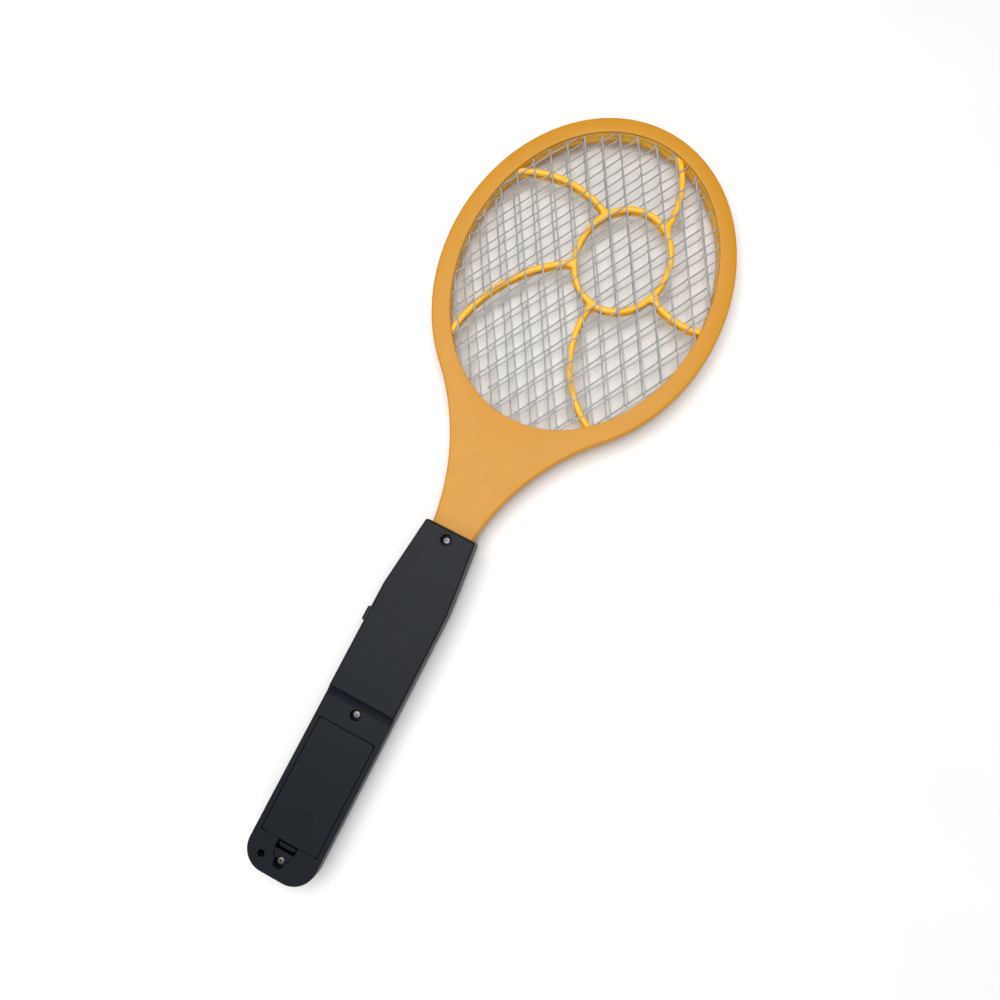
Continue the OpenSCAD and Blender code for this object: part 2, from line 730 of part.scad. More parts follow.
// ---------- head ----------

// Half of the head from the middle plane outwards: rim and neck with grid pocket, hollow channel and ribs
module head_half(pins) {
    half_t = head_t / 2;
    a = open_w / 2;
    b = open_len / 2;
    difference() {
        union() {
            difference() {
                linear_extrude(half_t) polygon(head_outline(0));
                translate([0, 0, -1]) linear_extrude(half_t - lip_t + 1) difference() {
                    polygon(head_outline(head_wall, tongue_y - 1));
                    polygon(oval(a + rib_gap, b + rib_gap, open_y));
                }
            }
            translate([0, neck_screw_y, 0]) cylinder(r = back_boss_r + 2, h = half_t);
            for (p = pins) translate([p[0], p[1], 0]) cylinder(r = 2, h = half_t - lip_t + eps);
        }
        translate([0, 0, -1]) linear_extrude(half_t + 2) polygon(oval(a, b, open_y));
        translate([0, 0, -1]) linear_extrude(half_t - lip_t + 1)
            polygon(oval(a + pocket_gap, b + pocket_gap, open_y));
        box(-9, 9, open_y - b - rib_gap - 1, open_y - b + 1, -1, half_t - lip_t);
        translate([0, neck_screw_y, -1]) cylinder(r = back_boss_r + 0.3, h = half_t + 2);
    }
}

// Assembly pins sit in the hollow channel of the rim
function pin_spots() = [for (t = pin_angles)
    [(open_w / 2 + rib_gap + 2.4) * cos(t), open_y + (open_len / 2 + rib_gap + 2.2) * sin(t)]];

module head_back_frame() {
    color([0.88, 0.62, 0.2]) seat() translate([0, 0, split_z]) difference() {
        head_half(pin_spots());
        for (p = pin_spots()) translate([p[0], p[1], -1]) cylinder(r = pin_r + pilot_gap, h = 4);
    }
}

module head_front_frame() {
    color([0.88, 0.62, 0.2]) seat() translate([0, 0, split_z]) {
        mirror([0, 0, 1]) head_half(pin_spots());
        for (p = pin_spots()) translate([p[0], p[1], -1]) cylinder(r = pin_r, h = 3.6);
    }
}

// Flat strip of width bar_d along the arc from p to q that bulges to the right of its way by sag
module arc_bar(p, q, sag) {
    chord = norm(q - p);
    r = chord * chord / (8 * sag) + sag / 2;
    side = [(q - p)[1], -(q - p)[0]] / chord;
    c = (p + q) / 2 + side * (sag - r);
    a0 = atan2(p[1] - c[1], p[0] - c[0]);
    turn = (atan2(q[1] - c[1], q[0] - c[0]) - a0 + 540) % 360 - 180;
    inner = arc(c, r - bar_d / 2, a0, a0 + turn, 14);
    outer = arc(c, r + bar_d / 2, a0 + turn, a0, 14);
    polygon(concat(inner, outer));
}

// Plastic spacer between two grids: outer hoop, inner ring and five curved arms
module spacer() {
    a = open_w / 2;
    b = open_len / 2;
    hoop_t = grid_z - grid_t / 2;
    translate([0, 0, -hoop_t / 2]) linear_extrude(hoop_t) difference() {
        polygon(oval(a + pocket_gap - 0.2, b + pocket_gap - 0.2, open_y));
        polygon(oval(a, b, open_y));
    }
    translate([0, 0, -bar_d / 2]) linear_extrude(bar_d) intersection() {
        polygon(oval(a + 1, b + 1, open_y));
        union() {
            translate([ring_c[0], 0]) difference() {
                polygon(oval(ring_a + bar_d / 2, ring_b + bar_d / 2, ring_c[1], 48));
                polygon(oval(ring_a - bar_d / 2, ring_b - bar_d / 2, ring_c[1], 48));
            }
            for (s = arms) arc_bar(s[0], s[1], s[2]);
        }
    }
}

module back_spacer() {
    color([1, 0.78, 0.2]) seat() translate([0, 0, split_z + grid_t / 2 + (grid_z - grid_t / 2) / 2]) spacer();
}

module front_spacer() {
    color([1, 0.78, 0.2]) seat() translate([0, 0, split_z - grid_t / 2 - (grid_z - grid_t / 2) / 2]) spacer();
}

// Straight strands in the direction of way, repeated from a crossing at steps of next
module strands(crossing, way, next) {
    count = ceil(open_len / norm(next));
    for (i = [-count:count]) translate(crossing + i * next) rotate(atan2(way[1], way[0]))
        square([3 * open_len, strand_w], center = true);
}

// Expanded metal sheet cut to the opening, with a tail at tail_x for its wire
module grid(mesh, tail_x) {
    a = open_w / 2 + pocket_gap - 0.4;
    b = open_len / 2 + pocket_gap - 0.4;
    linear_extrude(grid_t) {
        intersection() {
            polygon(oval(a, b, open_y));
            union() {
                strands(mesh[0], mesh[1], mesh[2]);
                strands(mesh[0], mesh[2], mesh[1]);
            }
        }
        translate([tail_x - tail_w / 2, tail_end_y]) square([tail_w, tail_len + 2.2]);
    }
}

module back_grid() {
    color([0.62, 0.63, 0.63]) seat() translate([0, 0, split_z + grid_z]) grid(back_mesh, -5.5);
}

module centre_grid() {
    color([0.72, 0.72, 0.72]) seat() translate([0, 0, split_z - grid_t / 2]) grid(centre_mesh, 5.5);
}

module front_grid() {
    color([0.62, 0.63, 0.63]) seat() translate([0, 0, split_z - grid_z - grid_t]) grid(front_mesh, -5.5);
}

module outer_grid_link() {
    color([0.8, 0.78, 0.7]) seat()
        box(-7, -4, tail_end_y + 0.5, tail_end_y + 1.1, split_z - grid_z, split_z + grid_z);
}

// ---------- wires ----------

// From a contact's tail, down past the tray, along the floor and up to the board
module battery_wire(x) {
    y0 = bay_y0 - tray_end;
    floor_z = wall + wire_r + 0.15;
    wire(concat([[x, y0 - 0.8, 8.2], [x, y0 - 1.6, 6], [x, y0 - 1.8, 4], [x, y0 - 0.6, floor_z + 0.05]],
        [for (y = [y0 + 4, 32, 50, 68, 84, 93]) [x, y, floor_z]],
        [[x, 100, 5], [x * 0.62, 105.4, 8.4]]), wire_r);
}

module battery_wire_plus() {
    color([0.7, 0.08, 0.06]) seat() battery_wire(cell_x);
}

module battery_wire_minus() {
    color([0.08, 0.08, 0.08]) seat() battery_wire(-cell_x);
}

// From the board, past the neck screw on the given side, to the tail of a grid
module grid_wire(side, end_y, end_z) {
    wire([[side * 3, 161.4, board_top + wire_r], [side * 4, 166, split_z], [side * 7.6, 172, split_z],
        [side * 8.2, neck_screw_y, split_z], [side * 8, 205, split_z], [side * 6, 230, split_z + 1],
        [side * 5.5, end_y, end_z]], wire_r);
}

module centre_grid_wire() {
    color([0.7, 0.08, 0.06]) seat() grid_wire(1, tail_end_y + 1, split_z + 0.95);
}

module outer_grid_wire() {
    color([0.08, 0.08, 0.08]) seat() grid_wire(-1, tail_end_y - 0.2, split_z + 1);
}

back_shell();
front_shell();
battery_door();
push_button();
switch_plunger();
button_spring();
switch_body();
handle_screws();
battery_cell_left();
battery_cell_right();
bridge_contact();
negative_contact();
positive_contact();
circuit_board();
board_screws();
transformer_core();
transformer_bobbin();
transformer_winding();
storage_capacitor();
doubler_capacitors();
rectifier_diodes();
switching_transistor();
resistors();
indicator_led();
head_back_frame();
head_front_frame();
back_spacer();
front_spacer();
back_grid();
centre_grid();
front_grid();
outer_grid_link();
battery_wire_plus();
battery_wire_minus();
centre_grid_wire();
outer_grid_wire();
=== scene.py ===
"""Looks of the battery fly swatter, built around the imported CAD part.

Lengths are in millimetres unless a name says otherwise. X and Z are the row frame's own, and Y is counted
from the free end of the handle; place() turns such a point into metres in the row frame.
"""

import json
import math

import bmesh
import bpy
from mathutils import Matrix, Vector


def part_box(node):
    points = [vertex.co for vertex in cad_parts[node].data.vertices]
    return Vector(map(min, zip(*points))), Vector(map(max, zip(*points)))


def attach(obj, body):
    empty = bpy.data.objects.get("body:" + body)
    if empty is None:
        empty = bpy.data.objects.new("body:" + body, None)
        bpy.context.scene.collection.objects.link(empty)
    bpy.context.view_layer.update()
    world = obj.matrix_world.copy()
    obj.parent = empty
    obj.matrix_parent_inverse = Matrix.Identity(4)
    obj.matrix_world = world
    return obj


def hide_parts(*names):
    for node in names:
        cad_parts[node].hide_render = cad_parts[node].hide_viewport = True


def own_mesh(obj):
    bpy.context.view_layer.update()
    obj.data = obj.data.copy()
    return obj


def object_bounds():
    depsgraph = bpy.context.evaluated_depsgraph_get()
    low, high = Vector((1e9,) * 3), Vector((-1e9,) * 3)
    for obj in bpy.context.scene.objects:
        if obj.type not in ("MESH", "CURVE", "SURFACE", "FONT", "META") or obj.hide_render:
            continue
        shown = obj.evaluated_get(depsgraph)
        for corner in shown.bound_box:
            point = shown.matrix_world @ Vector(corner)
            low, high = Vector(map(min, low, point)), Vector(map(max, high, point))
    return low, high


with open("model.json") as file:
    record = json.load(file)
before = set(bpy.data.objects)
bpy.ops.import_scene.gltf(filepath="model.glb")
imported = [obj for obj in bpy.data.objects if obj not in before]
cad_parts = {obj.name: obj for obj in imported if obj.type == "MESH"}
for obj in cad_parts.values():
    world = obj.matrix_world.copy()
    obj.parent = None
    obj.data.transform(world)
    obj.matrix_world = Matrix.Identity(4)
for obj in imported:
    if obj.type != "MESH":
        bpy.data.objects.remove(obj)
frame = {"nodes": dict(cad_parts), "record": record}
cad_low, cad_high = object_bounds()
nodes = frame["nodes"]
slot_of = {row["node"]: row["material_slot"] for row in frame["record"]["subparts"]}

MM = 0.001
MAIN = "swatter"

# ---------- dimensions ----------

# The case and the head are sized as in the CAD source; the wires and bars are drawn as the real ones are
HANDLE_LEN = 196.0
SPLIT_Z = 13.0
HEAD_W, HEAD_LEN, HEAD_Y = 156.0, 191.0, 347.0
OPEN_W, OPEN_LEN, OPEN_Y = 136.0, 171.8, 348.2
HEAD_HALF, LIP = 6.0, 1.5
FLARE_R = 130.0
HEAD_WALL = 1.6
TONGUE_HALF, TONGUE_Y = 11.3, 168.0
POCKET, RIB = 3.0, 4.4
PIN_ANGLES = (25, 65, 115, 155, 205, 335)
NECK_SCREW_Y = 190.0

GRID_T, GRID_Z = 0.6, 3.9
STRAND_W = 0.9
# For each grid: height of its underside from the split, place of its tail, length over which the outer bends
# are rounded, one crossing near the middle, and the two sides of its cells
GRIDS = {
    "back_grid": (GRID_Z, -5.5, 3.4, (18.3, 349.8), (-5.59, 9.03), (5.51, 9.32)),
    "centre_grid": (-GRID_T / 2, 5.5, 1.6, (15.2, 353.6), (-5.74, 9.44), (5.7, 10.03)),
    "front_grid": (-GRID_Z - GRID_T, -5.5, 1.6, (14.9, 355.1), (-5.8, 9.53), (5.76, 10.13)),
}

# Ring of the spacers: its centre and its half axes
RING_X, RING_Y, RING_A, RING_B = 13.4, 367.6, 25.0, 29.4
BAR_R = 1.78
# For each arm: its foot on the ring, its far end beyond the hoop, and how far it bulges sideways
ARMS = (
    ((-5.9, 386.6), (-62.0, 386.8), 7.6),
    ((26.5, 392.6), (13.5, 434.5), 5.2),
    ((36.6, 356.2), (69.6, 350.2), 3.7),
    ((9.5, 338.6), (38.5, 277.0), 11.0),
    ((-9.6, 354.6), (-51.6, 289.0), 9.9),
)

# For each screw: distance from the handle's end, height of the top of its head, and turn of its cross
SCREWS = ((8.1, 17.9, 12), (90.0, 19.0, 40), (190.0, 21.5, 28))
SCREW_HEAD_R, SCREW_HEAD_H, SCREW_LEN = 2.0, 1.6, 12.0

# Radius that stands for the axis at the ends of a turned profile
AXIS_R = 0.01


# ---------- mesh helpers ----------

def place(p):
    """A point in millimetres, Y from the handle's end, as metres in the row frame."""
    return Vector((p[0] * MM, p[1] * MM + cad_low.y, p[2] * MM))


def shade(obj, sharp_deg=38):
    """Smooth shading with edges sharper than the angle left crisp, and outward normals."""
    bm = bmesh.new()
    bm.from_mesh(obj.data)
    bmesh.ops.remove_doubles(bm, verts=bm.verts, dist=1e-7)
    bmesh.ops.recalc_face_normals(bm, faces=bm.faces)
    for edge in bm.edges:
        edge.smooth = len(edge.link_faces) == 2 and edge.calc_face_angle(0) < math.radians(sharp_deg)
    for face in bm.faces:
        face.smooth = True
    bm.to_mesh(obj.data)
    bm.free()


def add_object(name, verts, faces):
    """New object in the scene from a shell in millimetres."""
    mesh = bpy.data.meshes.new(name)
    mesh.from_pydata([place(v) for v in verts], [], faces)
    obj = bpy.data.objects.new(name, mesh)
    bpy.context.scene.collection.objects.link(obj)
    return obj


def join_parts(parts):
    """Several (verts, faces) shells as one."""
    verts, faces = [], []
    for part_verts, part_faces in parts:
        faces += [tuple(i + len(verts) for i in face) for face in part_faces]
        verts += part_verts
    return verts, faces


def loft(rings, loop=False, cap=False):
    """Quads between rings of equal length; loop joins the last ring to the first, cap closes both ends."""
    count = len(rings[0])
    verts = [p for ring in rings for p in ring]
    faces = []
    for i in range(len(rings) if loop else len(rings) - 1):
        a, b = i * count, (i + 1) % len(rings) * count
        faces += [(a + j, a + (j + 1) % count, b + (j + 1) % count, b + j) for j in range(count)]
    if cap:
        faces.append(tuple(range(count - 1, -1, -1)))
        faces.append(tuple(range((len(rings) - 1) * count, len(rings) * count)))
    return verts, faces


def box(x0, x1, y0, y1, z0, z1):
    """Block between two corners."""
    ring = ((x0, y0), (x1, y0), (x1, y1), (x0, y1))
    return loft([[(x, y, z) for x, y in ring] for z in (z0, z1)], cap=True)


def revolve(profile, centre, axis="z", sides=48):
    """A profile of (radius, height) turned about the Z or Y axis through centre, with both ends closed."""
    rings = []
    for radius, height in profile:
        ring = []
        for j in range(sides):
            a = 2 * math.pi * j / sides
            u, v = radius * math.cos(a), radius * math.sin(a)
            offset = (u, v, height) if axis == "z" else (u, height, v)
            ring.append(tuple(c + o for c, o in zip(centre, offset)))
        rings.append(ring)
    return loft(rings, cap=True)


def tube(path, radius, sides, closed=False):
    """Round bar along a path, with its frames carried along so that it never twists."""
    points = [Vector(p) for p in path]
    count = len(points)
    rings = []
    side = None
    for i, p in enumerate(points):
        before = points[(i - 1) % count] if closed or i else p
        after = points[(i + 1) % count] if closed or i < count - 1 else p
        along = (after - before).normalized()
        if side is None:
            side = along.cross(Vector((0, 0, 1)))
            side = side if side.length > 1e-3 else along.cross(Vector((0, 1, 0)))
        side = (side - along * side.dot(along)).normalized()
        up = along.cross(side)
        rings.append([
            tuple(p + side * (radius * math.cos(2 * math.pi * j / sides))
                  + up * (radius * math.sin(2 * math.pi * j / sides)))
            for j in range(sides)])
    return loft(rings, loop=closed, cap=not closed)


def boolean(obj, shapes, operation, solver="EXACT"):
    """Adds or removes (verts, faces) shapes and keeps the result as the object's own mesh."""
    tool = add_object("tool", *join_parts(shapes))
    shade(tool)
    modifier = obj.modifiers.new("cut", "BOOLEAN")
    modifier.operation = operation
    modifier.solver = solver
    modifier.use_self = operation == "UNION"
    modifier.object = tool
    apply_modifiers(obj)
    bpy.data.objects.remove(tool)


def apply_modifiers(obj):
    """Keeps what the object's modifiers make as its own mesh."""
    bpy.context.view_layer.update()
    graph = bpy.context.evaluated_depsgraph_get()
    mesh = bpy.data.meshes.new_from_object(obj.evaluated_get(graph))
    obj.modifiers.clear()
    obj.data = mesh


def piece(obj, material, stands_for, body=MAIN, sharp_deg=38):
    """Finishes a piece: shading, material, the body it rides on and the CAD nodes it stands for."""
    shade(obj, sharp_deg)
    obj.data.materials.clear()
    obj.data.materials.append(material)
    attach(obj, body)
    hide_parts(*stands_for)


def dress_cad(name, material, bevel, sharp_deg):
    """Keeps a CAD node, rounds its edges sharper than the angle and gives it a material."""
    obj = nodes[name]
    obj.data.materials.clear()
    obj.data.materials.append(material)
    for polygon in obj.data.polygons:
        polygon.use_smooth = True
    weld = obj.modifiers.new("weld", "WELD")
    weld.merge_threshold = 2e-6
    flat = obj.modifiers.new("flat", "DECIMATE")
    flat.decimate_type = "DISSOLVE"
    flat.angle_limit = math.radians(0.6)
    if bevel:
        edge = obj.modifiers.new("edge", "BEVEL")
        edge.width = bevel * MM
        edge.segments = 2
        edge.limit_method = "ANGLE"
        edge.angle_limit = math.radians(sharp_deg)
        edge.use_clamp_overlap = False
    level = obj.modifiers.new("level", "WEIGHTED_NORMAL")
    level.weight = 100


# ---------- materials ----------

def ramp(tree, source, stops):
    """A colour ramp fed by a socket; stops are (position, colour)."""
    node = tree.nodes.new("ShaderNodeValToRGB")
    elements = node.color_ramp.elements
    while len(elements) < len(stops):
        elements.new(0.5)
    for element, (position, colour) in zip(elements, stops):
        element.position = position
        element.color = (*colour, 1)
    tree.links.new(source, node.inputs["Fac"])
    return node.outputs["Color"]


def noise(tree, size_mm, detail=3.0, stretch=None):
    """Noise in object space with features of about size_mm; stretch lengthens them along X, Y or Z."""
    coords = tree.nodes.new("ShaderNodeTexCoord")
    node = tree.nodes.new("ShaderNodeTexNoise")
    node.inputs["Scale"].default_value = 1.0 / (size_mm * MM)
    node.inputs["Detail"].default_value = detail
    source = coords.outputs["Object"]
    if stretch:
        mapping = tree.nodes.new("ShaderNodeMapping")
        mapping.inputs["Scale"].default_value = tuple(1.0 / s for s in stretch)
        tree.links.new(source, mapping.inputs["Vector"])
        source = mapping.outputs["Vector"]
    tree.links.new(source, node.inputs["Vector"])
    return node.outputs["Fac"]


def spread(tree, source, low, high):
    """Maps noise, which mostly lies between 0.3 and 0.7, to a range."""
    node = tree.nodes.new("ShaderNodeMapRange")
    node.inputs["From Min"].default_value = 0.3
    node.inputs["From Max"].default_value = 0.7
    node.inputs["To Min"].default_value = low
    node.inputs["To Max"].default_value = high
    tree.links.new(source, node.inputs["Value"])
    return node.outputs["Result"]


def bump(tree, shader, source, height_mm):
    """Fine relief of the given height on the shader's normal."""
    node = tree.nodes.new("ShaderNodeBump")
    node.inputs["Distance"].default_value = height_mm * MM
    node.inputs["Strength"].default_value = 1.0
    tree.links.new(source, node.inputs["Height"])
    tree.links.new(node.outputs["Normal"], shader.inputs["Normal"])


def edge_mask(tree, radius_mm):
    """Near 1 on convex edges and near 0 on flats, from the bevelled normal."""
    rounded = tree.nodes.new("ShaderNodeBevel")
    rounded.samples = 4
    rounded.inputs["Radius"].default_value = radius_mm * MM
    geometry = tree.nodes.new("ShaderNodeNewGeometry")
    dot = tree.nodes.new("ShaderNodeVectorMath")
    dot.operation = "DOT_PRODUCT"
    tree.links.new(rounded.outputs["Normal"], dot.inputs[0])
    tree.links.new(geometry.outputs["Normal"], dot.inputs[1])
    node = tree.nodes.new("ShaderNodeMapRange")
    node.inputs["From Min"].default_value = 0.995
    node.inputs["From Max"].default_value = 0.9
    tree.links.new(dot.outputs["Value"], node.inputs["Value"])
    return node.outputs["Result"]


def mix(tree, factor, first, second):
    """Colour mix; first and second are sockets or colours."""
    node = tree.nodes.new("ShaderNodeMix")
    node.data_type = "RGBA"
    tree.links.new(factor, node.inputs["Factor"])
    for socket, value in ((node.inputs[6], first), (node.inputs[7], second)):
        if isinstance(value, tuple):
            socket.default_value = (*value, 1)
        else:
            tree.links.new(value, socket)
    return node.outputs[2]


def tint(colour, factor):
    """The colour made lighter or darker."""
    return tuple(min(1.0, c * factor) for c in colour)


def start_material(name):
    """New node material, with its tree and its main shader."""
    material = bpy.data.materials.new(name)
    material.use_nodes = True
    tree = material.node_tree
    shader = tree.nodes["Principled BSDF"]
    return material, tree, shader


def plastic(name, colour, rough, mottle, grain_mm, grain_height, worn_and_sheen=None, gloss=0.5, through=0.0):
    """Moulded plastic: clouded colour, fine texture, convex edges lightened towards a second colour that is
    partly rubbed wear and partly a painted edge sheen, light let through.
    """
    material, tree, shader = start_material(name)
    cloud = noise(tree, 14, 4)
    tone = ramp(tree, cloud, ((0.3, tint(colour, 1 - mottle)), (0.7, tint(colour, 1 + mottle))))
    # Lighter convex edges: partly rubbed wear, partly a painted highlight along the edges
    if worn_and_sheen:
        rub_and_sheen_noise = noise(tree, 3, 5)
        edges = tree.nodes.new("ShaderNodeMath")
        edges.operation = "MULTIPLY"
        tree.links.new(edge_mask(tree, 0.5), edges.inputs[0])
        tree.links.new(spread(tree, rub_and_sheen_noise, 0.7, 0.9), edges.inputs[1])
        tone = mix(tree, edges.outputs["Value"], tone, worn_and_sheen)
    tree.links.new(tone, shader.inputs["Base Color"])
    fine = noise(tree, grain_mm, 2)
    tree.links.new(spread(tree, noise(tree, 5, 3), rough - 0.02, rough + 0.02), shader.inputs["Roughness"])
    bump(tree, shader, fine, grain_height)
    shader.inputs["Specular IOR Level"].default_value = gloss
    if through:
        shader.inputs["Subsurface Weight"].default_value = through
        shader.inputs["Subsurface Radius"].default_value = (0.004, 0.002, 0.0006)
        shader.inputs["Subsurface Scale"].default_value = 0.6
    return material


def metal(name, colour, rough, brush_mm=0.15, stretch=(1, 8, 1), spots=0.08, bare=1.0):
    """Metal with streaks along it and slightly dulled patches; bare is how metallic it is."""
    material, tree, shader = start_material(name)
    streaks = noise(tree, brush_mm, 3, stretch)
    patches = noise(tree, 4, 4)
    tone = ramp(tree, patches, ((0.3, tint(colour, 1 - spots)), (0.7, tint(colour, 1 + spots))))
    tree.links.new(tone, shader.inputs["Base Color"])
    tree.links.new(spread(tree, streaks, rough - 0.07, rough + 0.07), shader.inputs["Roughness"])
    bump(tree, shader, streaks, 0.004)
    shader.inputs["Metallic"].default_value = bare
    return material


def cell_jacket(name, turned):
    """Metallised jacket with a dark band at the plus end; turned is for a cell with that end at low Y."""
    material, tree, shader = start_material(name)
    coords = tree.nodes.new("ShaderNodeTexCoord")
    split = tree.nodes.new("ShaderNodeSeparateXYZ")
    tree.links.new(coords.outputs["Generated"], split.inputs["Vector"])
    along = split.outputs["Y"]
    steel, band, jacket = (0.55, 0.55, 0.56), (0.05, 0.16, 0.11), (0.50, 0.52, 0.54)
    stops = [(0.0, steel), (0.012, jacket), (0.70, band), (0.955, steel)]
    if turned:
        stops = [(0.0, steel), (0.045, band), (0.30, jacket), (0.988, steel)]
    tone = ramp(tree, along, stops)
    tone.node.color_ramp.interpolation = "CONSTANT"
    dirt = noise(tree, 6, 4)
    soiled = mix(tree, spread(tree, dirt, 0.0, 0.12), tone, (0.12, 0.12, 0.12))
    tree.links.new(soiled, shader.inputs["Base Color"])
    tree.links.new(spread(tree, noise(tree, 1.5, 3), 0.2, 0.34), shader.inputs["Roughness"])
    bump(tree, shader, noise(tree, 0.8, 3), 0.004)
    shader.inputs["Metallic"].default_value = 0.85
    return material


def board_material(name):
    """Paper laminate: tan with faint fibres."""
    material, tree, shader = start_material(name)
    fibres = noise(tree, 0.5, 4, (1, 6, 1))
    tone = ramp(tree, fibres, ((0.3, (0.30, 0.17, 0.05)), (0.7, (0.46, 0.29, 0.10))))
    tree.links.new(tone, shader.inputs["Base Color"])
    tree.links.new(spread(tree, noise(tree, 3, 3), 0.4, 0.55), shader.inputs["Roughness"])
    bump(tree, shader, fibres, 0.01)
    return material


def resistor_material(name):
    """Lacquered body with dark bands across it at an even spacing."""
    material, tree, shader = start_material(name)
    band_mm = 0.7
    coords = tree.nodes.new("ShaderNodeTexCoord")
    split = tree.nodes.new("ShaderNodeSeparateXYZ")
    tree.links.new(coords.outputs["Object"], split.inputs["Vector"])
    wave = tree.nodes.new("ShaderNodeMath")
    wave.operation = "PINGPONG"
    wave.inputs[1].default_value = band_mm * MM
    tree.links.new(split.outputs["X"], wave.inputs[0])
    size = tree.nodes.new("ShaderNodeMath")
    size.operation = "MULTIPLY"
    size.inputs[1].default_value = 1 / (band_mm * MM)
    tree.links.new(wave.outputs["Value"], size.inputs[0])
    tone = ramp(tree, size.outputs["Value"], ((0.0, (0.30, 0.05, 0.02)), (0.35, (0.55, 0.38, 0.20))))
    tone.node.color_ramp.interpolation = "CONSTANT"
    tree.links.new(tone, shader.inputs["Base Color"])
    tree.links.new(spread(tree, noise(tree, 1, 3), 0.3, 0.45), shader.inputs["Roughness"])
    bump(tree, shader, noise(tree, 0.4, 2), 0.01)
    return material


# For plastics, the colour after the grain height is the lighter edge colour: rubbed wear together with a
# painted edge highlight
MATERIALS = {
    "black_plastic": plastic("black ABS", (0.0062, 0.0086, 0.0132), 0.43, 0.05, 0.25, 0.006,
                             (0.0095, 0.012, 0.0175), gloss=0.11),
    "button_plastic": plastic("button ABS", (0.0085, 0.0105, 0.0150), 0.42, 0.06, 0.3, 0.006,
                              (0.034, 0.036, 0.042), gloss=0.14),
    "orange_plastic": plastic("orange ABS", (0.56, 0.244, 0.0078), 0.42, 0.02, 0.3, 0.006,
                              (0.80, 0.42, 0.04), gloss=0.31),
    "yellow_plastic": plastic("yellow polypropylene", (0.96, 0.49, 0.028), 0.36, 0.03, 0.5, 0.003,
                              gloss=0.42, through=0.5),
    "white_nylon": plastic("nylon", (0.78, 0.77, 0.72), 0.4, 0.03, 0.4, 0.006, through=0.2),
    "grid_metal": metal("expanded sheet", (0.33, 0.34, 0.34), 0.55, 0.2, (1, 1, 1), 0.12, bare=0.35),
    "screw_steel": metal("zinc plate", (0.24, 0.235, 0.22), 0.45, 0.12, (1, 1, 1), 0.14, bare=0.8),
    "spring_steel": metal("spring wire", (0.62, 0.61, 0.60), 0.24),
    "contact_metal": metal("nickel plate", (0.66, 0.64, 0.60), 0.26),
    "board_laminate": board_material("paper laminate"),
    "ferrite": plastic("ferrite", (0.045, 0.046, 0.05), 0.6, 0.15, 0.35, 0.03, (0.12, 0.12, 0.12)),
    "bobbin_plastic": plastic("bobbin", (0.012, 0.012, 0.013), 0.38, 0.1, 0.3, 0.008),
    "winding_tape": plastic("polyester tape", (0.72, 0.42, 0.03), 0.18, 0.05, 1.5, 0.02),
    "film_capacitor": plastic("dipped epoxy red", (0.27, 0.03, 0.015), 0.22, 0.08, 1.6, 0.03),
    "disc_capacitor": plastic("dipped epoxy blue", (0.03, 0.12, 0.33), 0.25, 0.08, 1.2, 0.03),
    "diode_body": plastic("moulded epoxy", (0.014, 0.014, 0.015), 0.36, 0.1, 0.25, 0.01),
    "resistor_body": resistor_material("resistor lacquer"),
    "led_red": plastic("tinted epoxy", (0.50, 0.012, 0.012), 0.12, 0.04, 1.0, 0.003, through=0.4),
    "wire_red": plastic("red PVC", (0.45, 0.014, 0.012), 0.34, 0.06, 0.8, 0.01),
    "wire_black": plastic("black PVC", (0.015, 0.015, 0.015), 0.34, 0.08, 0.8, 0.01),
}


# ---------- head frames ----------

NECK_STEPS, FLARE_STEPS, OVAL_STEPS = 4, 24, 96


def head_outline(inset, start_y):
    """Outline of the head and neck, moved inwards, closed across the tongue at start_y."""
    a, b, r = HEAD_W / 2 - inset, HEAD_LEN / 2 - inset, FLARE_R + inset
    meet = math.atan(b / a)
    join = (a * math.cos(meet), HEAD_Y - b * math.sin(meet))
    centre = (join[0] + r * math.cos(math.pi / 4), join[1] - r * math.sin(math.pi / 4))
    rise = math.asin((HANDLE_LEN - centre[1]) / r)
    half = [(TONGUE_HALF - inset, start_y + (HANDLE_LEN - start_y) * i / NECK_STEPS)
            for i in range(NECK_STEPS)]
    for i in range(FLARE_STEPS + 1):
        angle = math.pi - rise - (math.pi / 4 - rise) * i / FLARE_STEPS
        half.append((centre[0] + r * math.cos(angle), centre[1] + r * math.sin(angle)))
    for i in range(1, OVAL_STEPS + 1):
        t = -meet + (math.pi / 2 + meet) * i / OVAL_STEPS
        half.append((a * math.cos(t), HEAD_Y + b * math.sin(t)))
    return half + [(-x, y) for x, y in reversed(half[:-1])]


def opening_outline(grow):
    """Oval of the opening, moved outwards, with one point on the same ray as each point of the outline."""
    a, b = OPEN_W / 2 + grow, OPEN_LEN / 2 + grow
    points = []
    for x, y in head_outline(0, TONGUE_Y):
        t = math.atan2((y - OPEN_Y) / b, x / a)
        points.append((a * math.cos(t), OPEN_Y + b * math.sin(t)))
    return points


def quarter(steps):
    """Angles from 0 to a right angle."""
    return [math.pi / 2 * i / steps for i in range(steps + 1)]


